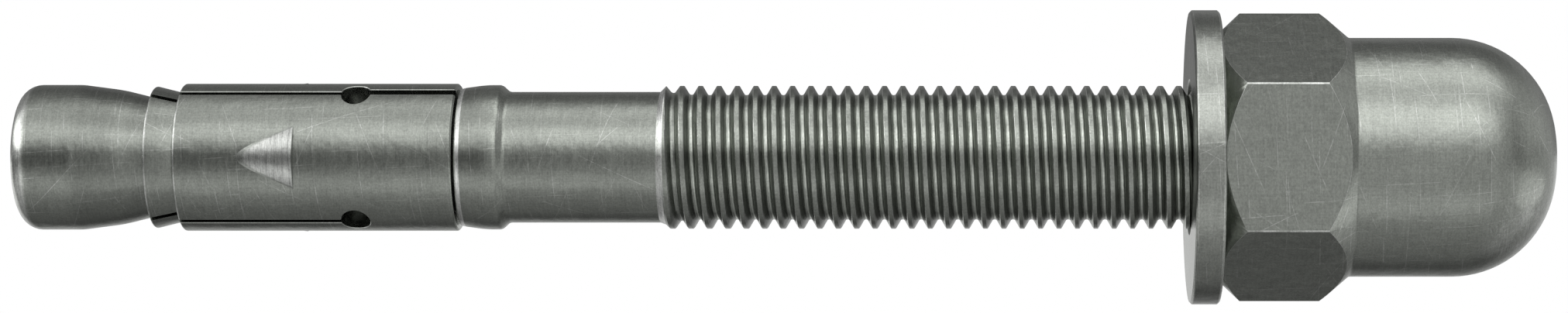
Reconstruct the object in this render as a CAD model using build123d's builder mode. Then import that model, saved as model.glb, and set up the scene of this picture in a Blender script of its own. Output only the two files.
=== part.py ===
"""Wedge anchor, size M10, with a one-piece cap nut.

The anchor lies along X with its cone end towards -X, and +Z is up. X is 0 on the washer's
clamping face, where the fixture is held. All lengths are in millimetres, angles in degrees.
"""

import os
from math import cos, radians, sin, sqrt, tan

from build123d import *

os.makedirs("parts", exist_ok=True)

# Cone bolt: one bar from the cone end to the end of the thread
cone_depth = 79.3  # from the clamping face to the flat of the cone end
cone_diameter = 9.84
cone_end_radius = 1.4
cone_land = 4.15  # full-diameter length, with its rounded end
lead_length = 2.75  # first and slower taper behind the land
lead_angle = 7.5
wedge_angle = 14.0  # second taper, which drives the sleeve's fingers apart
taper_blend = 4.0  # between the two tapers
neck_diameter = 7.2

collar_diameter = 9.82
collar_nose_diameter = 9.46  # where the nose's chamfer meets the slow swell
collar_face_diameter = 9.3
collar_nose_length = 0.35
collar_swell_length = 1.3
collar_land = 1.1
collar_back_angle = 43.0

shank_diameter = 8.89
shank_length = 10.26  # plain length between the collar and the thread
thread_diameter = 9.72
thread_end_chamfer = 0.9

# Expansion sleeve: one sheet rolled round the neck, with a lip that rides on the wedge taper
sleeve_diameter = 10.0
sleeve_start = 9.0  # from the cone end to the tip of the lip
sleeve_length = 20.7
sleeve_clearance = 0.1  # round the neck and over the wedge taper
sleeve_play = 0.15  # between the sleeve and the collar
lip_thickness = 0.7
lip_length = 2.0
lip_bevel = 0.1  # slant of the lip's cut edge, along the axis
step_bevel = 0.1  # the same where the lip steps up to the full diameter
sleeve_end_chamfer = 0.12

finger_count = 3
slit_width = 0.4
slit_length = 14.0  # from the tip of the lip to the centre of the relief hole
relief_length = 1.95  # oval relief hole: along the axis, and round the sleeve
relief_width = 2.4
seam_width = 0.65  # the sheet's two edges, between a relief hole and the collar

barb_start = 6.4  # from the tip of the lip to the point of the barb
barb_length = 3.75
barb_width = 4.24
barb_height = 0.35
barb_root = 0.4  # how far a barb's form runs on under the skin, past its point
barb_root_radius = 1.9  # its round there, narrower than at the sheared end

# Washer
washer_diameter = 20.0
washer_bore = 10.5
washer_thickness = 2.0
washer_edge_chamfer = 0.15

# Cap nut: hexagon and dome in one piece
wrench_size = 17.0
hex_height = 8.78
bearing_diameter = 16.9
bearing_side_angle = 43.5  # slopes of the turned cones that trim the hexagon's corners
dome_side_angle = 40.5
dome_diameter = 16.24
dome_radius = 7.0
nut_height = 22.8
engagement = 10.2  # length of bolt inside the nut
thread_clearance = 0.08  # between the bolt's crests and the wall of the nut's bore
bore_depth = 16.5
bore_mouth_chamfer = 0.5
drill_point_angle = 118.0

# Stations along the axis
cone_end = -cone_depth
lead_start = cone_end + cone_land
wedge_start = lead_start + lead_length
wedge_start_radius = cone_diameter / 2 - lead_length * tan(radians(lead_angle))
neck_start = wedge_start + (wedge_start_radius - neck_diameter / 2) / tan(radians(wedge_angle))
lip_tip = cone_end + sleeve_start
lip_root = lip_tip + lip_length
sleeve_end = lip_tip + sleeve_length
collar_face = sleeve_end + sleeve_play
collar_swell = collar_face + collar_nose_length
collar_full = collar_swell + collar_swell_length
collar_back = collar_full + collar_land
collar_drop = (collar_diameter - shank_diameter) / 2
shank_start = collar_back + collar_drop / tan(radians(collar_back_angle))
thread_start = shank_start + shank_length
thread_rise = (thread_diameter - shank_diameter) / 2
nut_face = washer_thickness
bolt_end = nut_face + engagement


def wedge_radius(x):
    """Radius of the wedge taper at a station, carried on inwards past the neck."""
    return wedge_start_radius - (x - wedge_start) * tan(radians(wedge_angle))


def outward(angle):
    """Direction square to the axis, turned from the front (-Y) up towards +Z."""
    return Vector(0, -cos(radians(angle)), sin(radians(angle)))


def wall_plane(x, angle):
    """Plane through the axis that faces outward at an angle, with its x along the anchor."""
    return Plane(origin=(x, 0, 0), x_dir=(1, 0, 0), z_dir=outward(angle))


def corner(outline, x, radius):
    """The corner of a turned outline at a station and a radius."""
    return outline.vertices().sort_by_distance((x, radius))[0]


with BuildPart() as cone_bolt:
    with BuildSketch(Plane.XZ) as bolt_outline:
        with BuildLine():
            Polyline(
                (cone_end, 0),
                (cone_end, cone_diameter / 2),
                (lead_start, cone_diameter / 2),
                (wedge_start, wedge_start_radius),
                (neck_start, neck_diameter / 2),
                (collar_face, neck_diameter / 2),
                (collar_face, collar_face_diameter / 2),
                (collar_swell, collar_nose_diameter / 2),
                (collar_full, collar_diameter / 2),
                (collar_back, collar_diameter / 2),
                (shank_start, shank_diameter / 2),
                (thread_start, shank_diameter / 2),
                (thread_start + thread_rise, thread_diameter / 2),
                (bolt_end - thread_end_chamfer, thread_diameter / 2),
                (bolt_end, thread_diameter / 2 - thread_end_chamfer),
                (bolt_end, 0),
                close=True,
            )
        make_face()
        fillet(corner(bolt_outline, cone_end, cone_diameter / 2), cone_end_radius)
        fillet(corner(bolt_outline, wedge_start, wedge_start_radius), taper_blend)
    revolve(axis=Axis.X)

slit_angles = [60 + i * 360 / finger_count for i in range(finger_count)]
seam_angle = slit_angles[0]
finger_angles = [angle - 180 / finger_count for angle in slit_angles]

sleeve_radius = sleeve_diameter / 2
sleeve_bore_radius = neck_diameter / 2 + sleeve_clearance
lip_cover = sleeve_clearance + lip_thickness / cos(radians(wedge_angle))

# Round crown of a barb, through its top and through both corners of its foot
foot_height = sqrt(sleeve_radius**2 - (barb_width / 2) ** 2)
barb_rise = sleeve_radius + barb_height - foot_height
crown_radius = ((barb_width / 2) ** 2 + barb_rise**2) / (2 * barb_rise)
crown_height = sleeve_radius + barb_height - crown_radius
barb_end = lip_tip + barb_start + barb_length
root_depth = barb_height * barb_root / barb_length
root_height = sleeve_radius - root_depth - barb_root_radius

with BuildPart() as expansion_sleeve:
    # The rolled sheet's outer form, solid to the axis for now
    with BuildSketch(Plane.XZ):
        with BuildLine():
            Polyline(
                (lip_tip, 0),
                (lip_tip, wedge_radius(lip_tip) + sleeve_clearance),
                (lip_tip + lip_bevel, wedge_radius(lip_tip + lip_bevel) + lip_cover),
                (lip_root, wedge_radius(lip_root) + lip_cover),
                (lip_root + step_bevel, sleeve_radius),
                (sleeve_end - sleeve_end_chamfer, sleeve_radius),
                (sleeve_end, sleeve_radius - sleeve_end_chamfer),
                (sleeve_end, 0),
                close=True,
            )
        make_face()
    revolve(axis=Axis.X)

    # Barbs: each widens and rises from a point to a sheared end, square to the axis
    for angle in finger_angles:
        crown_centre = Vector(barb_end, 0, 0) + outward(angle) * crown_height
        root_centre = Vector(barb_end - barb_length - barb_root, 0, 0) + outward(angle) * root_height
        with BuildSketch(Plane(origin=crown_centre, z_dir=(-1, 0, 0))):
            Circle(crown_radius)
        with BuildSketch(Plane(origin=root_centre, z_dir=(-1, 0, 0))):
            Circle(barb_root_radius)
        loft()

    # Bore: clear of the neck, and flared parallel to the wedge taper
    with BuildSketch(Plane.XZ):
        flare_end = neck_start
        with BuildLine():
            Polyline(
                (lip_tip - 1, 0),
                (lip_tip - 1, wedge_radius(lip_tip - 1) + sleeve_clearance),
                (flare_end, sleeve_bore_radius),
                (sleeve_end + 1, sleeve_bore_radius),
                (sleeve_end + 1, 0),
                close=True,
            )
        make_face()
    revolve(axis=Axis.X, mode=Mode.SUBTRACT)

    # Slits between the fingers, each running into its relief hole
    for angle in slit_angles:
        with BuildSketch(wall_plane(lip_tip, angle)):
            with Locations((slit_length / 2 - 1, 0)):
                Rectangle(slit_length + 2, slit_width)
            with Locations((slit_length, 0)):
                SlotOverall(relief_width, relief_length, rotation=90)
        extrude(amount=sleeve_diameter, mode=Mode.SUBTRACT)

    # Seam where the sheet's edges meet, from one relief hole to the collar
    seam_length = sleeve_length - slit_length
    with BuildSketch(wall_plane(lip_tip + slit_length, seam_angle)):
        with Locations((seam_length / 2 + 1, 0)):
            Rectangle(seam_length + 2, seam_width)
    extrude(amount=sleeve_diameter, mode=Mode.SUBTRACT)

with BuildPart() as washer:
    with BuildSketch(Plane.YZ):
        Circle(washer_diameter / 2)
        Circle(washer_bore / 2, mode=Mode.SUBTRACT)
    extrude(amount=washer_thickness)
    rims = washer.edges().filter_by(GeomType.CIRCLE).sort_by(SortBy.RADIUS)[-2:]
    chamfer(rims, washer_edge_chamfer)

hex_corner_radius = wrench_size / sqrt(3)
bearing_cone = (hex_corner_radius - bearing_diameter / 2) / tan(radians(bearing_side_angle))
dome_cone = (hex_corner_radius - dome_diameter / 2) / tan(radians(dome_side_angle))
bore_radius = thread_diameter / 2 + thread_clearance
drill_point = bore_radius / tan(radians(drill_point_angle / 2))

with BuildPart() as cap_nut:
    # Hexagon with a flat to the front and to the back, and corners above and below
    with BuildSketch(Plane.YZ.offset(nut_face)):
        RegularPolygon(wrench_size / 2, 6, major_radius=False, rotation=30)
    extrude(amount=hex_height)

    # Its corners turned down to the bearing face and to the foot of the dome
    with BuildSketch(Plane.XZ):
        with BuildLine():
            Polyline(
                (nut_face, 0),
                (nut_face, bearing_diameter / 2),
                (nut_face + bearing_cone, hex_corner_radius),
                (nut_face + hex_height - dome_cone, hex_corner_radius),
                (nut_face + hex_height, dome_diameter / 2),
                (nut_face + hex_height, 0),
                close=True,
            )
        make_face()
    revolve(axis=Axis.X, mode=Mode.INTERSECT)

    with BuildSketch(Plane.XZ) as dome_outline:
        with BuildLine():
            Polyline(
                (nut_face, 0),
                (nut_face, bearing_diameter / 4),
                (nut_face + hex_height, dome_diameter / 2),
                (nut_face + nut_height, dome_diameter / 2),
                (nut_face + nut_height, 0),
                close=True,
            )
        make_face()
        fillet(corner(dome_outline, nut_face + nut_height, dome_diameter / 2), dome_radius)
    revolve(axis=Axis.X)

    # Blind bore with a drilled end
    with BuildSketch(Plane.XZ):
        with BuildLine():
            Polyline(
                (nut_face, 0),
                (nut_face, bore_radius + bore_mouth_chamfer),
                (nut_face + bore_mouth_chamfer, bore_radius),
                (nut_face + bore_depth, bore_radius),
                (nut_face + bore_depth + drill_point, 0),
                close=True,
            )
        make_face()
    revolve(axis=Axis.X, mode=Mode.SUBTRACT)

pieces = {
    "cone_bolt": cone_bolt,
    "expansion_sleeve": expansion_sleeve,
    "washer": washer,
    "cap_nut": cap_nut,
}
for name, piece in pieces.items():
    piece.part.label = name
    export_step(piece.part, f"parts/{name}.step")
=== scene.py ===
from math import cos, hypot, pi, radians, sin, sqrt, tan

import bmesh
import bpy
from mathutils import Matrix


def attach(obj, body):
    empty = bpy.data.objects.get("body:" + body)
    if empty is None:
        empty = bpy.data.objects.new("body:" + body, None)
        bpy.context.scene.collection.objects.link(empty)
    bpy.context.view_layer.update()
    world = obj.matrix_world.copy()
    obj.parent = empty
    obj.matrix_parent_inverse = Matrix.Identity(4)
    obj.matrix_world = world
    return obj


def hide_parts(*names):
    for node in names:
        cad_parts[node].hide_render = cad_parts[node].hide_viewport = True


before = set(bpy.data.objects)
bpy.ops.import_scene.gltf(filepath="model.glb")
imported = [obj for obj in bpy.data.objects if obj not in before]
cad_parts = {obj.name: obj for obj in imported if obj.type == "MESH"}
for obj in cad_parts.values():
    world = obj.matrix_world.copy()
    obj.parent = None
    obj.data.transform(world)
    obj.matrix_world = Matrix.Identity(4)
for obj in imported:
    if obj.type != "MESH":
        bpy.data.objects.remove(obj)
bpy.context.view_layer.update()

# Sizes are in millimetres, and every x is measured from the washer's clamping face
mm = 0.001
weld = 0.0004 * mm  # corners closer than this become one
nearby = 0.002 * mm
onPlane = 1e-8  # a corner closer than this to a cutting plane lies on it


# Working by hand: one piece at a time, picked by place

def restHands():
    if bpy.context.object and bpy.context.object.mode != "OBJECT":
        bpy.ops.object.mode_set(mode="OBJECT")
    bpy.ops.object.select_all(action="DESELECT")


def takeUp(piece):
    restHands()
    piece.select_set(True)
    bpy.context.view_layer.objects.active = piece


def openMesh(piece):
    takeUp(piece)
    bpy.ops.object.mode_set(mode="EDIT")
    bpy.ops.mesh.select_mode(type="VERT")
    bpy.ops.mesh.select_all(action="DESELECT")


def pick(piece, kind, wanted):
    bpy.ops.mesh.select_mode(type=kind)
    bpy.ops.mesh.select_all(action="DESELECT")
    edit = bmesh.from_edit_mesh(piece.data)
    for item in {"VERT": edit.verts, "EDGE": edit.edges, "FACE": edit.faces}[kind]:
        if wanted(item):
            item.select_set(True)
    edit.select_flush_mode()
    bmesh.update_edit_mesh(piece.data)


def settleMesh(piece):
    openMesh(piece)
    bpy.ops.mesh.select_all(action="SELECT")
    bpy.ops.mesh.remove_doubles(threshold=weld)
    bpy.ops.mesh.normals_make_consistent(inside=False)
    restHands()


def applyAll(piece):
    takeUp(piece)
    for modifier in list(piece.modifiers):
        bpy.ops.object.modifier_apply(modifier=modifier.name)


def keepPlace(piece):
    takeUp(piece)
    bpy.ops.object.transform_apply(location=True, rotation=True, scale=True)


def drawOutline(name, corners):
    restHands()
    x, radius = corners[0]
    bpy.ops.mesh.primitive_plane_add(size=0.1 * mm, location=(x * mm, 0, radius * mm))
    piece = bpy.context.object
    piece.name = piece.data.name = name
    keepPlace(piece)
    openMesh(piece)
    bpy.ops.mesh.select_all(action="SELECT")
    bpy.ops.mesh.merge(type="CENTER")
    for here, there in zip(corners, corners[1:]):
        step = ((there[0] - here[0]) * mm, 0, (there[1] - here[1]) * mm)
        bpy.ops.mesh.extrude_region_move(TRANSFORM_OT_translate={"value": step})
    if corners[0] == corners[-1]:
        bpy.ops.mesh.select_all(action="SELECT")
        bpy.ops.mesh.remove_doubles(threshold=weld)
    restHands()
    return piece


def quarterRound(x, radius, size, steps, way):
    # from the side of a bar at x to its end face
    turns = [step * pi / (2 * steps) for step in range(steps + 1)]
    return [(x + way * size * sin(turn), radius - size * (1 - cos(turn))) for turn in turns]


def easeCorners(piece, places, width, segments=2):
    openMesh(piece)
    pick(piece, "VERT", lambda vertex: any(
        hypot(vertex.co.x - x * mm, vertex.co.z - radius * mm) < nearby for x, radius in places))
    bpy.ops.mesh.bevel(offset=width * mm, segments=segments, affect="VERTICES", clamp_overlap=True)
    restHands()


def turnOnLathe(piece, steps):
    openMesh(piece)
    bpy.ops.mesh.select_all(action="SELECT")
    bpy.ops.mesh.spin(steps=steps, angle=2 * pi, center=(0, 0, 0), axis=(1, 0, 0))
    settleMesh(piece)


def workOn(piece, tool, operation):
    cut = piece.modifiers.new("work", "BOOLEAN")
    cut.operation = operation
    cut.solver = "EXACT"
    cut.object = tool
    applyAll(piece)
    bpy.data.objects.remove(tool)


def numberFaces(piece, slot):
    # the slot stays on the faces through a boolean, and tells afterwards which form they came from
    piece.data.materials.append(None)
    piece.data.materials.append(None)
    for face in piece.data.polygons:
        face.material_index = slot


def pickJoins(piece):
    openMesh(piece)
    pick(piece, "EDGE", lambda edge: len(edge.link_faces) == 2 and
         {face.material_index for face in edge.link_faces} == {0, 1})


def finishSurface(piece, crease):
    takeUp(piece)
    bpy.ops.object.shade_smooth_by_angle(angle=radians(crease))
    weighted = piece.modifiers.new("evenShade", "WEIGHTED_NORMAL")
    weighted.weight = 60  # above 50, the large faces lead
    weighted.keep_sharp = True
    applyAll(piece)


# Cone bolt

bolt = {
    "coneEnd": -79.3,
    "coneRadius": 4.92,
    "endRound": 1.4,
    "faceRing": 1.8,  # a ring of corners on the end face, so that its faces stay small
    "leadStart": -75.15,
    "leadEase": 0.25,
    "wedgeStart": -72.4,
    "wedgeStartRadius": 4.558,
    "wedgeEase": 0.5,
    "neckStart": -68.557,
    "neckRadius": 3.6,
    "collarFace": -49.45,
    "collarFaceRadius": 4.65,
    "collarNose": (-49.1, 4.73),
    "noseEase": 0.05,
    "collarFull": (-47.8, 4.91),
    "fullEase": 0.45,
    "collarBack": (-46.7, 4.91),
    "backEase": 0.16,
    "shankStart": -46.2,
    "shankRadius": 4.445,
    "threadStart": -35.94,
    "end": 12.2,
    "endRadius": 3.96,
    "endChamfer": 0.9,
    "steps": 96,
    "crease": 24,
}
thread = {
    "pitch": 1.25,
    "crestRadius": 4.86,
    "rootRadius": 4.23,
    "crestHalf": 0.135,  # shares of the pitch
    "rootHalf": 0.10,
    "crestEase": (0.03, 0.035),  # a share of the pitch, and a height
    "rootCorners": ((-0.012, 0.05), (0.045, 0.008)),  # the same, from the foot of a flank
    # the corner face low on a flank is the one that carries painted shade
    "cornerShare": 0.15,  # how far up a flank the dark corner reaches
    "crestOnTop": -34.48,  # one crest's centre, on the top side
    "crestsBefore": 3,
    "chamferEnd": -35.55,
    "runIn": [(-36.4, 0.0), (-35.65, 0.52), (-35.13, 0.75), (-34.44, 0.86), (-33.86, 0.96), (-33.2, 1.0)],
    "steps": 64,
}


def grooveDepth(x):
    marks = thread["runIn"]
    if x <= marks[0][0]:
        return marks[0][1]
    for (x0, depth0), (x1, depth1) in zip(marks, marks[1:]):
        if x <= x1:
            return depth0 + (depth1 - depth0) * (x - x0) / (x1 - x0)
    return marks[-1][1]


def threadOutline(centre):
    # one pitch, from the left edge of a crest to the left edge of the next
    t = thread
    crest, root, half, foot = t["crestRadius"], t["rootRadius"], t["crestHalf"], 0.5 - t["rootHalf"]
    along, down = t["crestEase"]
    (footAlong, footUp), (rootAlong, rootUp) = t["rootCorners"]
    low, high = (1 - foot - footAlong, root + footUp), (1 - half, crest - down)
    corner = [here + t["cornerShare"] * (there - here) for here, there in zip(low, high)]
    shares = [
        (-half, crest - down), (-half + along, crest), (half - along, crest), (half, crest - down),
        (foot + footAlong, root + footUp), (foot + rootAlong, root + rootUp), (0.5, root),
        (1 - foot - rootAlong, root + rootUp), low, corner, high,
    ]
    return [(centre + share * t["pitch"], radius) for share, radius in shares]


def rollThread():
    pitch, crest = thread["pitch"], thread["crestRadius"] * mm
    centre = thread["crestOnTop"] - thread["crestsBefore"] * pitch
    piece = drawOutline("threadPart", threadOutline(centre))
    screw = piece.modifiers.new("thread", "SCREW")
    screw.axis = "X"
    screw.angle = 2 * pi
    screw.screw_offset = pitch * mm
    screw.iterations = round((bolt["end"] - centre) / pitch) + 1
    screw.steps = screw.render_steps = thread["steps"]
    applyAll(piece)
    openMesh(piece)
    bpy.ops.mesh.select_all(action="SELECT")
    bpy.ops.mesh.remove_doubles(threshold=weld)
    for x, keepRight in ((thread["chamferEnd"], True), (bolt["end"] - bolt["endChamfer"], False)):
        bpy.ops.mesh.select_all(action="SELECT")
        bpy.ops.mesh.bisect(plane_co=(x * mm, 0, 0), plane_no=(1, 0, 0),
                            clear_inner=keepRight, clear_outer=not keepRight, threshold=onPlane)
    restHands()
    for vertex in piece.data.vertices:  # the groove comes in to its full depth over the first turns
        radius = hypot(vertex.co.y, vertex.co.z)
        wanted = crest - (crest - radius) * grooveDepth(vertex.co.x / mm)
        vertex.co.y *= wanted / radius
        vertex.co.z *= wanted / radius
    return piece


def bridgeRims(piece, near, far):
    pick(piece, "EDGE", lambda edge: edge.is_boundary and all(
        min(abs(vertex.co.x - near * mm), abs(vertex.co.x - far * mm)) < nearby for vertex in edge.verts))
    bpy.ops.mesh.bridge_edge_loops()


def makeBolt():
    b = bolt
    endArc = quarterRound(b["coneEnd"] + b["endRound"], b["coneRadius"], b["endRound"], 8, -1)
    lead, wedge = (b["leadStart"], b["coneRadius"]), (b["wedgeStart"], b["wedgeStartRadius"])
    face, shank = (b["collarFace"], b["collarFaceRadius"]), (b["shankStart"], b["shankRadius"])
    body = drawOutline("coneBolt", [
        (b["coneEnd"], 0),
        (b["coneEnd"], b["faceRing"]),
        *reversed(endArc),
        lead,
        wedge,
        (b["neckStart"], b["neckRadius"]),
        (b["collarFace"], b["neckRadius"]),
        face,
        b["collarNose"],
        b["collarFull"],
        b["collarBack"],
        shank,
        (b["threadStart"], b["shankRadius"]),
    ])
    easeCorners(body, [lead], b["leadEase"], 3)
    easeCorners(body, [wedge], b["wedgeEase"], 4)
    easeCorners(body, [b["collarBack"], shank], b["backEase"], 3)
    easeCorners(body, [b["collarFull"]], b["fullEase"], 4)
    easeCorners(body, [b["collarNose"], face], b["noseEase"])
    turnOnLathe(body, b["steps"])
    threaded = rollThread()
    restHands()
    bpy.ops.mesh.primitive_circle_add(vertices=b["steps"], radius=b["endRadius"] * mm, fill_type="NGON",
                                      location=(b["end"] * mm, 0, 0), rotation=(0, pi / 2, 0))
    endFace = bpy.context.object
    keepPlace(endFace)
    body.select_set(True)
    threaded.select_set(True)
    bpy.context.view_layer.objects.active = body
    bpy.ops.object.join()
    openMesh(body)
    bridgeRims(body, b["threadStart"], thread["chamferEnd"])
    bridgeRims(body, b["end"] - b["endChamfer"], b["end"])
    settleMesh(body)
    return body


boltPiece = makeBolt()
finishSurface(boltPiece, bolt["crease"])
print("bolt", len(boltPiece.data.polygons))


# Expansion sleeve

sleeve = {
    "wall": [
        (-70.3, 4.134), (-70.2, 4.831), (-68.3, 4.357), (-68.2, 5.0), (-49.72, 5.0),
        (-49.6, 4.88), (-49.6, 3.7), (-68.557, 3.7), (-70.3, 4.134),
    ],
    "rubbedEdge": 0.12,  # where the lip starts and where it steps up
    "collarEdge": 0.03,
    "radius": 5.0,
    "slitAngles": (60, 180, 300),  # from the front, up and round
    "slitWidth": 0.4,
    "holeCentre": -56.3,
    "holeHalf": (0.975, 1.2),  # along the axis, and round the sleeve
    "seamAngle": 62,
    "seamWidth": 0.7,
    "cutEdge": 0.05,  # the broken edge of slits, seam and holes
    "cutFoot": 2.6,  # cutters start inside the bore
    "cutFlare": 0.2,
    "barbAngles": (0, 120, 240),
    "barbEnd": -60.15,
    "barbLength": 3.75,
    "barbHeight": 0.35,
    "barbWidth": 4.24,
    "barbRoot": 0.4,  # a barb's form runs on under the skin, past its point
    "barbRootRadius": 1.9,
    "barbFoot": 4.3,  # its form is cut off here, inside the wall
    "barbSteps": 128,
    "steps": 120,
    "crease": 24,
}


def turnRound(piece, angle):
    takeUp(piece)
    piece.rotation_euler = (radians(90 - angle), 0, 0)
    keepPlace(piece)


def flareTop(piece, growX, growY, centre):
    openMesh(piece)
    top = max(vertex.co.z for vertex in piece.data.vertices)
    pick(piece, "FACE", lambda face: face.calc_center_median().z > top - nearby / 2)
    rise = (0, 0, sleeve["cutFlare"] * mm)
    bpy.ops.mesh.extrude_region_move(TRANSFORM_OT_translate={"value": rise})
    bpy.ops.transform.resize(value=(growX, growY, 1), center_override=(centre * mm, 0, 0))
    restHands()


def slitCutter(name, left, right, width):
    low, high, flare = sleeve["cutFoot"], sleeve["radius"] - sleeve["cutEdge"], sleeve["cutFlare"]
    restHands()
    bpy.ops.mesh.primitive_cube_add(size=mm, location=((left + right) / 2 * mm, 0, (low + high) / 2 * mm),
                                    scale=(right - left, width, high - low))
    piece = bpy.context.object
    piece.name = name
    keepPlace(piece)
    flareTop(piece, 1, (width + 2 * flare) / width, (left + right) / 2)
    return piece


def holeCutter():
    low, high, flare = sleeve["cutFoot"], sleeve["radius"] - sleeve["cutEdge"], sleeve["cutFlare"]
    along, across = sleeve["holeHalf"]
    restHands()
    bpy.ops.mesh.primitive_cylinder_add(vertices=48, radius=mm, depth=(high - low) * mm,
                                        location=(sleeve["holeCentre"] * mm, 0, (low + high) / 2 * mm),
                                        scale=(along, across, 1))
    piece = bpy.context.object
    piece.name = "reliefHole"
    keepPlace(piece)
    flareTop(piece, (along + flare) / along, (across + flare) / across, sleeve["holeCentre"])
    for vertex in piece.data.vertices:  # the cutter's top follows the sleeve's round
        if vertex.co.z > (low + high) / 2 * mm:
            vertex.co.z = sqrt(max(vertex.co.z ** 2 - vertex.co.y ** 2, 0))
    return piece


def barbBlank():
    # a slanting cone whose wide end is the sheared end, through its top and both its corners
    s = sleeve
    foot = sqrt(s["radius"] ** 2 - (s["barbWidth"] / 2) ** 2)
    rise = s["radius"] + s["barbHeight"] - foot
    crown = ((s["barbWidth"] / 2) ** 2 + rise ** 2) / (2 * rise)
    centre = foot + rise - crown
    run = s["barbLength"] + s["barbRoot"]
    rootTop = s["radius"] - s["barbHeight"] * s["barbRoot"] / s["barbLength"]
    sink = centre - (rootTop - s["barbRootRadius"])  # the narrow end lies under the skin
    restHands()
    bpy.ops.mesh.primitive_cone_add(vertices=s["barbSteps"], radius1=s["barbRootRadius"] * mm,
                                    radius2=crown * mm, depth=run * mm, rotation=(0, pi / 2, 0),
                                    location=((s["barbEnd"] - run / 2) * mm, 0, centre * mm))
    piece = bpy.context.object
    piece.name = "barb"
    keepPlace(piece)
    openMesh(piece)
    pick(piece, "VERT", lambda vertex: vertex.co.x < (s["barbEnd"] - run / 2) * mm)
    bpy.ops.transform.translate(value=(0, 0, -sink * mm))
    bpy.ops.mesh.select_all(action="SELECT")
    bpy.ops.mesh.bisect(plane_co=(0, 0, s["barbFoot"] * mm), plane_no=(0, 0, 1), use_fill=True,
                        clear_inner=True, threshold=onPlane)
    settleMesh(piece)
    return piece


def makeSleeve():
    s = sleeve
    piece = drawOutline("expansionSleeve", s["wall"])
    easeCorners(piece, [s["wall"][1], s["wall"][3]], s["rubbedEdge"], 3)
    easeCorners(piece, s["wall"][4:6], s["collarEdge"])
    turnOnLathe(piece, s["steps"])
    numberFaces(piece, 0)
    for angle in s["barbAngles"]:
        barb = barbBlank()
        turnRound(barb, angle)
        numberFaces(barb, 1)
        workOn(piece, barb, "UNION")
    for angle in s["slitAngles"]:
        slit = slitCutter("slit", s["wall"][0][0] - 1, s["holeCentre"], s["slitWidth"])
        hole = holeCutter()
        for cutter in (slit, hole):
            turnRound(cutter, angle)
            workOn(piece, cutter, "DIFFERENCE")
    seam = slitCutter("seam", s["holeCentre"], s["wall"][5][0] + 1, s["seamWidth"])
    turnRound(seam, s["seamAngle"])
    workOn(piece, seam, "DIFFERENCE")
    settleMesh(piece)
    pickJoins(piece)
    bpy.ops.mesh.mark_sharp()
    return piece


sleevePiece = makeSleeve()
finishSurface(sleevePiece, sleeve["crease"])
print("sleeve", len(sleevePiece.data.polygons))


# Washer

washer = {
    "radius": 10.0,
    "boreRadius": 5.25,
    "thickness": 2.0,
    "rimChamfer": 0.15,
    "rimEase": 0.03,
    "boreChamfer": 0.06,
    "steps": 160,
    "crease": 50,
}


def makeWasher():
    thick, outer, rim = washer["thickness"], washer["radius"], washer["rimChamfer"]
    inner, lip = washer["boreRadius"], washer["boreChamfer"]
    outside = [(0, outer - rim), (rim, outer), (thick - rim, outer), (thick, outer - rim)]
    bore = [(thick, inner + lip), (thick - lip, inner), (lip, inner), (0, inner + lip)]
    piece = drawOutline("washerPiece", outside + bore + outside[:1])
    easeCorners(piece, outside[1:], washer["rimEase"])
    turnOnLathe(piece, washer["steps"])
    return piece


washerPiece = makeWasher()
finishSurface(washerPiece, washer["crease"])
print("washer", len(washerPiece.data.polygons))


# Cap nut

nut = {
    "face": 2.0,
    "acrossFlats": 17.0,
    "bearingRadius": 8.45,
    "bearingSlope": 43.5,
    "bearingEase": 0.06,
    "beyondCorners": 10.3,
    "domeSlope": 40.5,
    "hexEnd": 10.78,
    "hexEase": 0.12,
    "domeRadius": 8.12,
    "domeRound": 7.0,
    "end": 24.8,
    "boreRadius": 4.94,
    "boreEnd": 18.5,
    "drillPoint": 2.97,
    "mouth": 0.5,
    "hexEdge": 0.09,
    "turnedEdge": 0.045,
    "barMiddle": 13,  # the hexagon bar that the nut is turned from
    "barLength": 30,
    "steps": 144,
    "crease": 24,
}


def turnedBlank():
    n = nut
    beyond = n["beyondCorners"]
    bearing, shoulder = (n["face"], n["bearingRadius"]), (n["hexEnd"], n["domeRadius"])
    blank = drawOutline("capNut", [
        (n["boreEnd"] + n["drillPoint"], 0),
        (n["boreEnd"], n["boreRadius"]),
        (n["face"] + n["mouth"], n["boreRadius"]),
        (n["face"], n["boreRadius"] + n["mouth"]),
        bearing,
        (n["face"] + (beyond - n["bearingRadius"]) / tan(radians(n["bearingSlope"])), beyond),
        (n["hexEnd"] - (beyond - n["domeRadius"]) / tan(radians(n["domeSlope"])), beyond),
        shoulder,
        *quarterRound(n["end"] - n["domeRound"], n["domeRadius"], n["domeRound"], 20, 1),
        (n["end"], 0),
    ])
    easeCorners(blank, [bearing], n["bearingEase"])
    easeCorners(blank, [shoulder], n["hexEase"], 3)
    turnOnLathe(blank, n["steps"])
    return blank


def hexagonBar():
    n = nut
    restHands()
    bpy.ops.mesh.primitive_cylinder_add(vertices=6, radius=n["acrossFlats"] / sqrt(3) * mm,
                                        depth=n["barLength"] * mm, location=(n["barMiddle"] * mm, 0, 0),
                                        rotation=(pi / 2, 0, pi / 2))
    bar = bpy.context.object
    bar.name = "hexBar"
    keepPlace(bar)
    openMesh(bar)
    pick(bar, "EDGE", lambda edge: abs(edge.verts[0].co.x - edge.verts[1].co.x) > n["barLength"] / 2 * mm)
    bpy.ops.mesh.bevel(offset=n["hexEdge"] * mm, segments=3, affect="EDGES")
    restHands()
    return bar


def makeNut():
    piece, bar = turnedBlank(), hexagonBar()
    numberFaces(piece, 0)
    numberFaces(bar, 1)
    workOn(piece, bar, "INTERSECT")
    settleMesh(piece)
    pickJoins(piece)
    bpy.ops.mesh.bevel(offset=nut["turnedEdge"] * mm, segments=2, affect="EDGES", clamp_overlap=True)
    settleMesh(piece)
    return piece


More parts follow.
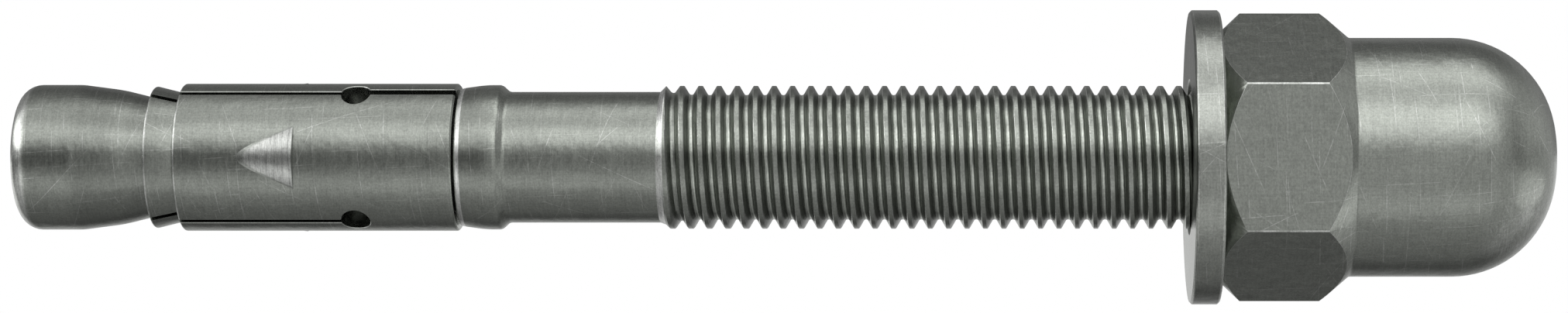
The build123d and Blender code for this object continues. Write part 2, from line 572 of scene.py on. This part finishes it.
nutPiece = makeNut()
finishSurface(nutPiece, nut["crease"])
print("nut", len(nutPiece.data.polygons))


# Node helpers

def newNodes(owner):
    owner.use_nodes = True
    owner.node_tree.nodes.clear()
    return owner.node_tree


def addNode(tree, kind, inputs=(), **settings):
    node = tree.nodes.new(kind)
    for name, value in settings.items():
        setattr(node, name, value)
    for key, value in dict(inputs).items():
        if isinstance(value, bpy.types.NodeSocket):
            tree.links.new(value, node.inputs[key])
        else:
            node.inputs[key].default_value = value
    return node


def calculate(tree, operation, first, second=0.0, clamp=False):
    return addNode(tree, "ShaderNodeMath", {0: first, 1: second},
                   operation=operation, use_clamp=clamp).outputs[0]


def plus(tree, first, second):
    return calculate(tree, "ADD", first, second)


def minus(tree, first, second):
    return calculate(tree, "SUBTRACT", first, second)


def times(tree, first, second):
    return calculate(tree, "MULTIPLY", first, second)


def larger(tree, first, second):
    return calculate(tree, "MAXIMUM", first, second)


def between(tree, value, start, end, low=0.0, high=1.0):
    return addNode(tree, "ShaderNodeMapRange", {
        "Value": value, "From Min": start, "From Max": end, "To Min": low, "To Max": high,
    }, interpolation_type="SMOOTHSTEP").outputs["Result"]


def reach(tree, value, start, end, soft):
    # 1 inside the stretch, falling off over the soft length at either end
    rise = between(tree, value, start - soft, start + soft)
    fall = between(tree, value, end - soft, end + soft, 1.0, 0.0)
    return times(tree, rise, fall)


def mixTones(tree, share, first, second):
    # this node's colours share their names with its values, so they go by number
    return addNode(tree, "ShaderNodeMix", {0: share, 6: first, 7: second}, data_type="RGBA").outputs[2]


def inMillimetres(tree):
    place = addNode(tree, "ShaderNodeTexCoord").outputs["Object"]
    return lengthen(tree, place, (1 / mm, 1 / mm, 1 / mm))


def lengthen(tree, place, factors):
    scale = addNode(tree, "ShaderNodeCombineXYZ", dict(enumerate(factors))).outputs[0]
    return addNode(tree, "ShaderNodeVectorMath", {0: place, 1: scale}, operation="MULTIPLY").outputs[0]


def grainAt(tree, place, fineness, detail, roughness=0.5):
    return addNode(tree, "ShaderNodeTexNoise", {
        "Vector": lengthen(tree, place, fineness), "Scale": 1.0, "Detail": detail, "Roughness": roughness,
    }).outputs[0]


def alongAxis(tree, place):
    return addNode(tree, "ShaderNodeSeparateXYZ", {0: place}).outputs["X"]


def outFromAxis(tree, place):
    x, y, z = addNode(tree, "ShaderNodeSeparateXYZ", {0: place}).outputs
    return calculate(tree, "SQRT", plus(tree, times(tree, y, y), times(tree, z, z)))


def newGroup(name, inputs, outputs):
    tree = bpy.data.node_groups.new(name, "ShaderNodeTree")
    for label, value in inputs.items():
        tree.interface.new_socket(label, in_out="INPUT", socket_type="NodeSocketFloat").default_value = value
    for label in outputs:
        tree.interface.new_socket(label, in_out="OUTPUT", socket_type="NodeSocketFloat")
    return tree, tree.nodes.new("NodeGroupInput").outputs, tree.nodes.new("NodeGroupOutput").inputs


def useGroup(tree, group, values):
    return addNode(tree, "ShaderNodeGroup", values, node_tree=group).outputs


# Finishes shared by all four pieces: a fineness counts cells to the millimetre

marksFineness = {"Grain": (9.0, 7.0, 7.0), "Drawn": (0.45, 9.0, 9.0), "Waves": (1.1, 0.8, 0.8)}
scratchLook = {
    # each run's direction in degrees, and how long and how wide its cells are
    "runs": (
        (2, 9, 0.9), (91, 5, 0.8), (88, 9, 2.3), (-31, 9, 2.7),
        (38, 11, 3.9), (64, 8, 2.9), (-72, 7, 2.2), (17, 14, 4.3),
    ),
    "stagger": 0.37,  # shares of a cell
    "slant": 0.7,
    "offset": 0.5,
    "halfLength": (0.12, 0.33),  # the least, and what chance adds
    "fade": 0.12,
    "halfWidth": (0.012, 0.035),  # of its core, and out to its edge
    "leastChance": 0.35,  # a cell that draws less stays bare
    "broken": (0.3, 0.6, 0.25, 1.0),
    "brokenFineness": (2.2, 2.2, 2.2),
}
wearPatches = (0.35, 0.62)
wearFineness = (1.1, 1.1, 1.1)


def turningMarks():
    # fine rings left by the tool and the abrasive, broken up along their way round
    tree, given, made = newGroup("turningMarks", {"Fine": 9.0, "Coarse": 2.5, "Round": 0.5},
                                 ["Marks", "Bands", "Grain", "Drawn", "Waves"])
    place = inMillimetres(tree)
    slow = times(tree, given["Round"], 0.25)
    patterns = {
        "Marks": ((given["Fine"], given["Round"], given["Round"]), 3.0, 0.65),
        "Bands": ((given["Coarse"], slow, slow), 2.0, 0.5),
        "Grain": (marksFineness["Grain"], 2.0, 0.6),
        "Drawn": (marksFineness["Drawn"], 3.0, 0.7),
        "Waves": (marksFineness["Waves"], 2.0, 0.5),
    }
    for label, (fineness, detail, roughness) in patterns.items():
        tree.links.new(grainAt(tree, place, fineness, detail, roughness), made[label])
    return tree


def scratchRun():
    # one straight scratch in each cell of a grid laid along the surface, each with its own slant and reach
    look = scratchLook
    tree, given, made = newGroup("scratchRun", {
        "Along": 0.0, "Across": 0.0, "Turn": 0.0, "Length": 8.0, "Width": 2.0, "Seed": 0.0}, ["Line"])
    cosine, sine = (calculate(tree, function, given["Turn"]) for function in ("COSINE", "SINE"))
    way = plus(tree, times(tree, given["Along"], cosine), times(tree, given["Across"], sine))
    off = minus(tree, times(tree, given["Across"], cosine), times(tree, given["Along"], sine))
    lanes = calculate(tree, "DIVIDE", off, given["Width"])
    lane = calculate(tree, "FLOOR", lanes)
    steps = plus(tree, calculate(tree, "DIVIDE", way, given["Length"]), times(tree, lane, look["stagger"]))
    step = calculate(tree, "FLOOR", steps)
    cell = addNode(tree, "ShaderNodeCombineXYZ", {0: lane, 1: step, 2: given["Seed"]}).outputs[0]
    chance = addNode(tree, "ShaderNodeTexWhiteNoise", {"Vector": cell}, noise_dimensions="3D").outputs
    draws = addNode(tree, "ShaderNodeSeparateColor", {0: chance["Color"]}).outputs
    fromLane = minus(tree, minus(tree, lanes, lane), 0.5)
    fromStep = minus(tree, minus(tree, steps, step), 0.5)
    slant = times(tree, minus(tree, draws[0], 0.5), look["slant"])
    offset = times(tree, minus(tree, draws[1], 0.5), look["offset"])
    aside = minus(tree, fromLane, plus(tree, offset, times(tree, slant, fromStep)))
    aside = times(tree, calculate(tree, "ABSOLUTE", aside), given["Width"])
    thin = between(tree, aside, *look["halfWidth"], 1.0, 0.0)
    shortest, longer = look["halfLength"]
    half = plus(tree, shortest, times(tree, draws[2], longer))
    inside = minus(tree, half, calculate(tree, "ABSOLUTE", fromStep))
    line = times(tree, thin, between(tree, inside, 0.0, look["fade"]))
    tree.links.new(times(tree, line, between(tree, chance["Value"], look["leastChance"], 1.0)), made["Line"])
    return tree


def scratches(run):
    # runs of scratches in several directions, broken here and there
    tree, given, made = newGroup("scratches", {"Amount": 1.0, "Seed": 0.0, "Radius": 5.0, "Facing": 0.0},
                                 ["Scratches"])
    place = inMillimetres(tree)
    x, y, z = addNode(tree, "ShaderNodeSeparateXYZ", {0: place}).outputs
    along = minus(tree, x, times(tree, outFromAxis(tree, place), given["Facing"]))
    turn = calculate(tree, "ARCTAN2", z, times(tree, y, -1.0))
    across = times(tree, turn, given["Radius"])
    total = 0.0
    for count, (direction, length, width) in enumerate(scratchLook["runs"]):
        line = useGroup(tree, run, {
            "Along": along, "Across": across, "Turn": radians(direction), "Length": length, "Width": width,
            "Seed": plus(tree, given["Seed"], count),
        })["Line"]
        total = larger(tree, total, line)
    broken = between(tree, grainAt(tree, place, scratchLook["brokenFineness"], 1.0), *scratchLook["broken"])
    tree.links.new(times(tree, times(tree, total, broken), given["Amount"]), made["Scratches"])
    return tree


def edgeWear():
    # edges worn bright, unevenly, and on some of the sleeve's edges painted highlight
    tree, given, made = newGroup("edgeWear", {"Edge": 0.0, "Uneven": 0.5}, ["Wear"])
    patches = between(tree, grainAt(tree, inMillimetres(tree), wearFineness, 3.0, 0.6), *wearPatches)
    kept = minus(tree, 1.0, times(tree, given["Uneven"], minus(tree, 1.0, patches)))
    tree.links.new(times(tree, given["Edge"], kept), made["Wear"])
    return tree


def handling():
    # faint cloudy smudges
    tree, given, made = newGroup("handling", {"Size": 4.0}, ["Smudge"])
    share = calculate(tree, "DIVIDE", 1.0, given["Size"])
    tree.links.new(grainAt(tree, inMillimetres(tree), (share, share, share), 4.0, 0.6), made["Smudge"])
    return tree


marksGroup, scratchGroup = turningMarks(), scratches(scratchRun())
wearGroup, smudgeGroup = edgeWear(), handling()


def steel(name, look, paintedHighlights=None, paintedShade=None, spared=None):
    material = bpy.data.materials.new(name)
    tree = newNodes(material)
    place = inMillimetres(tree)
    marks = useGroup(tree, marksGroup, {
        "Fine": look["fine"], "Coarse": look["coarse"], "Round": look["round"]})
    lines = useGroup(tree, scratchGroup, {
        "Amount": look["scratch"], "Seed": look["seed"], "Radius": look["radius"], "Facing": look["facing"],
    })["Scratches"]
    if spared:
        lines = times(tree, lines, spared(tree, place))
    smudge = useGroup(tree, smudgeGroup, {"Size": look["smudgeSize"]})["Smudge"]
    edge = addNode(tree, "ShaderNodeAttribute", attribute_name="edge").outputs["Fac"]
    edgeWearAndHighlight = useGroup(tree, wearGroup, {"Edge": edge, "Uneven": look["uneven"]})["Wear"]
    # painted highlights, where the piece has any
    bright = paintedHighlights(tree, place) if paintedHighlights else 0.0

    contrast = plus(tree, look["contrast"], times(tree, bright, look["highlightContrast"]))
    shade = 1.0
    for pattern, share in (
            (marks["Marks"], contrast), (marks["Bands"], look["bandContrast"]), (smudge, look["smudge"]),
            (marks["Grain"], look["grain"]), (marks["Drawn"], look["drawn"])):
        shade = plus(tree, shade, times(tree, minus(tree, pattern, 0.5), share))
    # painted shade and darker stretches, where the piece has any
    if paintedShade:
        shade = times(tree, shade, paintedShade(tree, place))

    # edge wear, scratches and painted highlights all move the colour towards one lighter tone
    wearAndHighlight = larger(tree, times(tree, bright, look["highlightStrength"]), times(tree, edgeWearAndHighlight, look["edgeWearAndHighlight"]))
    wearAndHighlight = calculate(tree, "MAXIMUM", wearAndHighlight, times(tree, lines, look["scratchTone"]), clamp=True)
    tone = mixTones(tree, wearAndHighlight, (*look["tone"], 1), (*look["wearAndHighlightTone"], 1))
    shaded = addNode(tree, "ShaderNodeVectorMath", {0: tone, "Scale": shade}, operation="SCALE").outputs[0]

    spread = times(tree, minus(tree, marks["Marks"], 0.5), look["roughnessSpread"])
    rough = plus(tree, look["roughness"], spread)
    rough = calculate(tree, "ADD", rough, times(tree, wearAndHighlight, look["wearAndHighlightRoughness"]), clamp=True)
    height = times(tree, minus(tree, marks["Marks"], times(tree, lines, look["scratchDepth"])), look["bump"])
    height = plus(tree, height, times(tree, marks["Waves"], look["waves"]))
    bump = addNode(tree, "ShaderNodeBump", {
        "Strength": 1.0, "Distance": look["bumpHeight"] * mm, "Height": height})
    surface = addNode(tree, "ShaderNodeBsdfPrincipled", {
        "Base Color": shaded, "Metallic": 1.0, "Roughness": rough, "Normal": bump.outputs[0]})
    addNode(tree, "ShaderNodeOutputMaterial", {"Surface": surface.outputs["BSDF"]})
    return material


# Steel of each piece: one bar stock, with its own marks and wear, painted highlights and painted shade

boltLook = {
    "tone": (0.318, 0.335, 0.306), "wearAndHighlightTone": (0.80, 0.81, 0.79),
    "roughness": 0.24, "roughnessSpread": 0.08, "wearAndHighlightRoughness": 0.04,
    "fine": 9.0, "coarse": 2.2, "round": 0.7, "contrast": 0.42, "bandContrast": 0.15,
    "grain": 0.75, "drawn": 0.35, "bump": 0.2, "waves": 4.0, "bumpHeight": 0.01,
    "smudge": 0.2, "smudgeSize": 3.0,
    # scratches are true to size at the radius, and facing 1 lays them over an end face
    "scratch": 1.0, "seed": 0, "radius": 4.5, "facing": 0, "scratchTone": 0.35, "scratchDepth": 0.4,
    "edgeWearAndHighlight": 0.55, "uneven": 0.6, "edgeWidth": 0.06, "edgeTurn": 12, "wornAndLitEdges": ((-90, 30, 1.0),),
    "highlightStrength": 0.95, "highlightContrast": 0.8,
    # painted highlights on the rounded end, the collar's nose and the thread's start: from, to, soft length
    # and share
    "paintedHighlights": ((-79.2, -78.3, 0.2, 0.5), (-49.45, -49.1, 0.03, 1.0), (-35.94, -35.5, 0.03, 1.0)),
    # the tapers a little darker, and painted shade on the neck under the sleeve
    "tapers": (-75.15, -68.6, 0.5), "taperShade": 0.22,
    "neckShadeRadii": (3.95, 3.75), "neckShadeTone": 0.2,
    "sparedFade": 0.3, "spared": 0.2,  # what is left of the scratches on the thread
}
# painted light and shade on the thread's flanks, by which way each face leans
groovePaintedLight = {
    "clearOfStart": 0.6,
    "paintedTones": {"foot": 2.0, "root": 1.15, "corner": 0.25, "lit": 1.35, "paintedShadeFlank": 0.5},
    "rootHeight": 0.06,
    "cornerHeight": 0.12,
    "footLean": -0.03,  # how far a face's normal leans along the axis
    "flankLean": 0.6,
    "paintedShadeLean": 0.5,
}
sleeveLook = {
    **boltLook,
    "seed": 20, "radius": 5, "highlightStrength": 0.6, "highlightContrast": 1.0, "edgeWearAndHighlight": 0.7, "edgeWidth": 0.16,
    # edges worn bright, with painted highlights on the lip, the step and the holes' far edges
    "wornAndLitEdges": ((-70.4, -69.9, 1.0), (-68.5, -67.9, 1.0), (-55.9, -55.2, 0.8), (-70.0, -49.8, 0.35)),
    # the barbs' painted highlight starts this far out from the skin, and stops this far from the sheared end
    "barbProud": (0.005, 0.06), "barbShort": (0.03, 0.06),  # from the skin, and from the sheared end
    # painted shade in the gap at each barb's sheared end, and the lip a little darker
    "shearedAlong": (-0.004, 0.01, 0.003), "shearedProud": (0.002, 0.01), "shearedPaintedShade": 0.8,
    "lipLength": 0.1, "lipTone": 0.86,
}
washerLook = {
    **boltLook,
    "tone": (0.33, 0.345, 0.318), "fine": 7.0, "contrast": 0.45,
    "seed": 40, "radius": 9, "facing": 1, "edgeWearAndHighlight": 0.5,
}
nutLook = {
    **boltLook,
    "fine": 7.5, "contrast": 0.4, "bandContrast": 0.12,
    "seed": 60, "radius": 8.6, "edgeWearAndHighlight": 0.6, "edgeWidth": 0.08,
    # a painted highlight on one spot of the dome
    "highlightStrength": 0.3, "highlightSpot": (21.8, -4.2, -5.0), "spotReach": (4.2, 0.8),
    "spotPatches": (0.35, 0.65, 0.2, 1.0), "spotFineness": (0.9, 0.9, 0.9),
}


def boltPaintedHighlights(tree, place):
    # painted highlights on the rounded end, the collar's nose and the thread's start
    x = alongAxis(tree, place)
    worn = 0.0
    for start, end, soft, share in boltLook["paintedHighlights"]:
        worn = larger(tree, worn, times(tree, reach(tree, x, start, end, soft), share))
    return worn


def boltPaintedShade(tree, place):
    # painted shade on the neck under the sleeve, the tapers a little darker, and painted light and shade on
    # the thread's flanks
    tapers = times(tree, reach(tree, alongAxis(tree, place), *boltLook["tapers"]), boltLook["taperShade"])
    paintedNeckShade = between(tree, outFromAxis(tree, place), *boltLook["neckShadeRadii"], 1.0, boltLook["neckShadeTone"])
    # the thread's painted light and shade, stored on its faces
    groove = addNode(tree, "ShaderNodeAttribute", attribute_name="groove").outputs["Fac"]
    return times(tree, times(tree, paintedNeckShade, plus(tree, groove, 1.0)), minus(tree, 1.0, tapers))


def threadSpared(tree, place):
    # the thread's grooves hardly get scratched
    start = bolt["threadStart"]
    x = alongAxis(tree, place)
    return between(tree, x, start - boltLook["sparedFade"], start, 1.0, boltLook["spared"])


def barbPaintedHighlight(tree, place):
    # painted highlight on each barb's raised face
    skin, end = sleeve["radius"], sleeve["barbEnd"]
    proud = between(tree, outFromAxis(tree, place), *(skin + height for height in sleeveLook["barbProud"]))
    short = between(tree, alongAxis(tree, place), *(end - length for length in sleeveLook["barbShort"]))
    return times(tree, proud, short)


def barbShadeAndLip(tree, place):
    # painted shade at the sheared end of a barb, and the lip a little darker
    x, radius = alongAxis(tree, place), outFromAxis(tree, place)
    start, end, soft = sleeveLook["shearedAlong"]
    along = reach(tree, x, sleeve["barbEnd"] + start, sleeve["barbEnd"] + end, soft)
    proud = between(tree, radius, *(sleeve["radius"] + height for height in sleeveLook["shearedProud"]))
    sheared = times(tree, times(tree, along, proud), sleeveLook["shearedPaintedShade"])
    lipEnd = sleeve["wall"][2][0]
    lip = between(tree, x, lipEnd, lipEnd + sleeveLook["lipLength"], sleeveLook["lipTone"], 1.0)
    return times(tree, lip, minus(tree, 1.0, sheared))


def domePaintedHighlight(tree, place):
    # a painted highlight, in patches, on one spot low on the dome's round
    away = addNode(tree, "ShaderNodeVectorMath", {0: place, 1: nutLook["highlightSpot"]}, operation="DISTANCE")
    spot = between(tree, away.outputs["Value"], *nutLook["spotReach"])
    grain = grainAt(tree, place, nutLook["spotFineness"], 4.0, 0.7)
    return times(tree, spot, between(tree, grain, *nutLook["spotPatches"]))


def markFaces(piece, label, measure):
    edit = bmesh.new()
    edit.from_mesh(piece.data)
    layer = edit.faces.layers.float.new(label)
    for face in edit.faces:
        face[layer] = measure(face)
    edit.to_mesh(piece.data)
    edit.free()


def edgeWearAndHighlightShare(face, look):
    # narrow faces beside a turned corner are the ones that wear bright, and on the sleeve some carry painted
    # highlights
    width = face.calc_area() / max(edge.calc_length() for edge in face.edges)
    bend = max((edge.calc_face_angle_signed(0) for edge in face.edges), default=0)
    if width >= look["edgeWidth"] * mm or bend <= radians(look["edgeTurn"]):
        return 0
    at = face.calc_center_median().x / mm
    return max((share for start, end, share in look["wornAndLitEdges"] if start < at < end), default=0)


def grooveLightAndShade(height, lean):
    # painted highlight on the side of each groove that faces the cone end, with a brighter painted line at
    # its foot, painted shade low in its corner, the root a little lighter, and painted shade on the other
    # side
    look, paintedTones = groovePaintedLight, groovePaintedLight["paintedTones"]
    if height < look["rootHeight"] and abs(lean) < look["flankLean"]:
        return paintedTones["foot"] if lean < look["footLean"] else paintedTones["root"]
    if lean < -look["flankLean"]:
        return paintedTones["corner"] if height < look["cornerHeight"] else paintedTones["lit"]
    return paintedTones["paintedShadeFlank"] if lean > look["paintedShadeLean"] else 1.0


def groovePaintedShift(face):
    # how far a face's tone is from the plain 1, so that unmarked faces stay at 0
    centre = face.calc_center_median()
    start, end = bolt["threadStart"] + groovePaintedLight["clearOfStart"], bolt["end"] - bolt["endChamfer"]
    if not start <= centre.x / mm <= end:
        return 0
    return grooveLightAndShade(hypot(centre.y, centre.z) / mm - thread["rootRadius"], face.normal.x) - 1


def dress(piece, look, material, body, node):
    # edge wear, and on the sleeve painted edge highlights, stored on the faces
    markFaces(piece, "edge", lambda face: edgeWearAndHighlightShare(face, look))
    piece.data.materials.clear()
    piece.data.materials.append(material)
    for face in piece.data.polygons:
        face.material_index = 0
    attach(piece, body)
    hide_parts(node)


boltSteel = steel("boltSteel", boltLook, boltPaintedHighlights, boltPaintedShade, threadSpared)
sleeveSteel = steel("sleeveSteel", sleeveLook, barbPaintedHighlight, barbShadeAndLip)
washerSteel = steel("washerSteel", washerLook)
nutSteel = steel("nutSteel", nutLook, domePaintedHighlight)
# painted light and shade on the thread's flanks, stored on its faces
markFaces(boltPiece, "groove", groovePaintedShift)
dress(boltPiece, boltLook, boltSteel, "bolt", "cone_bolt")
dress(sleevePiece, sleeveLook, sleeveSteel, "sleeve", "expansion_sleeve")
dress(washerPiece, washerLook, washerSteel, "washer", "washer")
dress(nutPiece, nutLook, nutSteel, "nut", "cap_nut")
print("materials")


# Floor, light tent, lamp, camera: here lengths are in metres

stage = {
    "floorHeight": -0.022,
    "floorSize": 12.0,
    "floorTone": 0.86,
    "floorFade": (0.14, 0.28),  # how far out it turns plain white
    "tentRadius": 0.3,
    "tentHalf": 0.5,
    "tentSides": 96,
    "sidesMeet": (-0.16, 0.03),  # where the left levels give way to the right ones
    "calmFrom": (0.1, 0.42),  # further right, the wall is even
    "calmLevel": 0.55,
    "farGain": (-0.16, -0.5, 2.0, 4.0),  # brighter to the left, from 2 up as the levels are halved
    "worldLevel": 0.9,
    "lampSize": (0.6, 0.3),
    "lampPlace": (-0.1, -0.35, 0.6),
    "lampPower": 1.6,
    "cameraPlace": (-0.0137, -0.2667, 0),
    "cameraShift": (-0.130, 0.0005),
    "cameraLens": 90,
    "cameraSensor": 36,
    "cameraReach": (0.01, 50),
}
# brightness of the tent's wall, by the angle from the front up and over
leftLevels = [
    (-180, 0.8), (-152, 0.53), (-135, 0.10), (-117, 0.18), (-87, 0.26), (-74, 0.36), (-62, 0.43),
    (-51, 0.65), (-41, 0.69), (-31, 0.57), (-21, 0.33), (-11, 0.155), (-1, 0.105), (8, 0.14), (18, 0.48),
    (28, 1.05), (38, 1.29), (49, 1.34), (59, 0.88), (71, 0.84), (83, 0.85), (97, 0.55), (113, 0.28),
    (133, 0.18), (152, 0.2), (180, 0.2),
]
rightLevels = [
    (-180, 0.9), (-152, 0.27), (-130, 0.09), (-112, 0.25), (-99, 0.3), (-78, 0.38), (-63, 0.46),
    (-50, 0.82), (-37, 0.71), (-25, 0.55), (-15, 0.64), (0, 0.58), (8, 0.65), (15, 0.99), (24, 1.57),
    (34, 1.85), (44, 1.94), (55, 1.25), (69, 1.14), (84, 1.73), (98, 1.28), (108, 0.5), (120, 0.23),
    (136, 0.17), (152, 0.28), (180, 0.22),
]
# the tent's ends: over and under the middle they add to its brightness, in front and behind they scale it
leftEnd = {"middle": 0.13, "above": 2.4, "below": 0.4, "front": 1.0, "back": 0.5}
rightEnd = {"middle": 0.5, "above": 0.15, "below": 0.55, "front": 0.65, "back": 1.1}
endReach = {"above": (0.02, 0.11), "below": (-0.04, -0.13), "front": (-0.12, -0.05), "back": (0.05, 0.25)}


def glow(name):
    material = bpy.data.materials.new(name)
    tree = newNodes(material)
    emission = addNode(tree, "ShaderNodeEmission")
    addNode(tree, "ShaderNodeOutputMaterial", {"Surface": emission.outputs["Emission"]})
    place = addNode(tree, "ShaderNodeTexCoord").outputs["Object"]
    return material, tree, emission.inputs, addNode(tree, "ShaderNodeSeparateXYZ", {0: place}).outputs


def levelsRound(tree, turn, stops):
    # a ramp's colours stop at 1, so they hold half the brightness
    node = addNode(tree, "ShaderNodeValToRGB", {"Fac": turn})
    ramp = node.color_ramp
    while len(ramp.elements) < len(stops):
        ramp.elements.new(0.5)
    for element, (angle, level) in zip(ramp.elements, stops):
        element.position = angle / 360 + 0.5
        element.color = (level / 2, level / 2, level / 2, 1)
    return node.outputs["Color"]


def tentWall():
    material, tree, emission, at = glow("tentWall")
    angle = calculate(tree, "ARCTAN2", at["Z"], times(tree, at["Y"], -1.0))
    turn = plus(tree, calculate(tree, "DIVIDE", angle, 2 * pi), 0.5)
    left, right = (levelsRound(tree, turn, stops) for stops in (leftLevels, rightLevels))
    sides = mixTones(tree, between(tree, at["X"], *stage["sidesMeet"]), left, right)
    calm = stage["calmLevel"] / 2
    wall = mixTones(tree, between(tree, at["X"], *stage["calmFrom"]), sides, (calm, calm, calm, 1))
    tree.links.new(wall, emission["Color"])
    tree.links.new(between(tree, at["X"], *stage["farGain"]), emission["Strength"])
    return material


def tentEnd(name, look):
    material, tree, emission, at = glow(name)
    upper = between(tree, at["Z"], *endReach["above"], 0.0, look["above"])
    lower = between(tree, at["Z"], *endReach["below"], 0.0, look["below"])
    front = between(tree, at["Y"], *endReach["front"], look["front"], 1.0)
    back = between(tree, at["Y"], *endReach["back"], 1.0, look["back"])
    level = plus(tree, look["middle"], plus(tree, upper, lower))
    tree.links.new(times(tree, level, times(tree, front, back)), emission["Strength"])
    return material


def makeTent():
    restHands()
    bpy.ops.mesh.primitive_cylinder_add(vertices=stage["tentSides"], radius=stage["tentRadius"],
                                        depth=2 * stage["tentHalf"], rotation=(0, pi / 2, 0))
    tent = bpy.context.object
    tent.name = "lightTent"
    keepPlace(tent)
    for material in (tentWall(), tentEnd("tentLeft", leftEnd), tentEnd("tentRight", rightEnd)):
        tent.data.materials.append(material)
    for face in tent.data.polygons:
        if abs(face.normal.x) > 0.9:
            face.material_index = 1 if face.center.x < 0 else 2
    tent.visible_camera = False
    tent.visible_diffuse = False
    tent.visible_shadow = False
    tent.visible_transmission = False


def seenRays(tree):
    # those of the camera, and those that come to it off metal or through glass
    path = addNode(tree, "ShaderNodeLightPath").outputs
    mirrored = larger(tree, path["Is Glossy Ray"], path["Is Transmission Ray"])
    return larger(tree, path["Is Camera Ray"], mirrored)


def makeFloor():
    restHands()
    bpy.ops.mesh.primitive_plane_add(size=stage["floorSize"], location=(0, 0, stage["floorHeight"]))
    floor = bpy.context.object
    floor.name = "floor"
    keepPlace(floor)
    material = bpy.data.materials.new("paleFloor")
    tree = newNodes(material)
    place = addNode(tree, "ShaderNodeTexCoord").outputs["Object"]
    away = addNode(tree, "ShaderNodeVectorMath", {0: place}, operation="LENGTH").outputs["Value"]
    white = times(tree, seenRays(tree), between(tree, away, *stage["floorFade"]))
    tone = stage["floorTone"]
    matt = addNode(tree, "ShaderNodeBsdfDiffuse", {"Color": (tone, tone, tone, 1)}).outputs[0]
    plain = addNode(tree, "ShaderNodeEmission", {"Color": (1, 1, 1, 1), "Strength": 1.0}).outputs[0]
    mixed = addNode(tree, "ShaderNodeMixShader", {0: white, 1: matt, 2: plain})
    addNode(tree, "ShaderNodeOutputMaterial", {"Surface": mixed.outputs[0]})
    floor.data.materials.append(material)
    floor.visible_glossy = False


def lightWorld():
    world = bpy.data.worlds.new("studio")
    bpy.context.scene.world = world
    tree = newNodes(world)
    soft, white = (
        addNode(tree, "ShaderNodeBackground", {"Color": (1, 1, 1, 1), "Strength": level}).outputs[0]
        for level in (stage["worldLevel"], 1.0))
    mixed = addNode(tree, "ShaderNodeMixShader", {0: seenRays(tree), 1: soft, 2: white})
    addNode(tree, "ShaderNodeOutputWorld", {"Surface": mixed.outputs[0]})


def hangLamp():
    lamp = bpy.data.objects.new("overheadLamp", bpy.data.lights.new("overheadLamp", "AREA"))
    bpy.context.scene.collection.objects.link(lamp)
    lamp.data.shape = "RECTANGLE"
    lamp.data.size, lamp.data.size_y = stage["lampSize"]
    lamp.data.energy = stage["lampPower"]
    lamp.location = stage["lampPlace"]
    lamp.rotation_euler = (-lamp.location).to_track_quat("-Z", "Y").to_euler()
    lamp.visible_glossy = False


def placeCamera():
    camera = bpy.data.objects.new("camera", bpy.data.cameras.new("camera"))
    bpy.context.scene.collection.objects.link(camera)
    camera.data.lens = stage["cameraLens"]
    camera.data.sensor_width = stage["cameraSensor"]
    camera.data.clip_start, camera.data.clip_end = stage["cameraReach"]
    camera.data.shift_x, camera.data.shift_y = stage["cameraShift"]
    camera.location = stage["cameraPlace"]
    camera.rotation_euler = (pi / 2, 0, 0)
    bpy.context.scene.camera = camera


makeTent()
makeFloor()
lightWorld()
hangLamp()
placeCamera()
bpy.context.scene.view_settings.view_transform = "Standard"
print("stage")
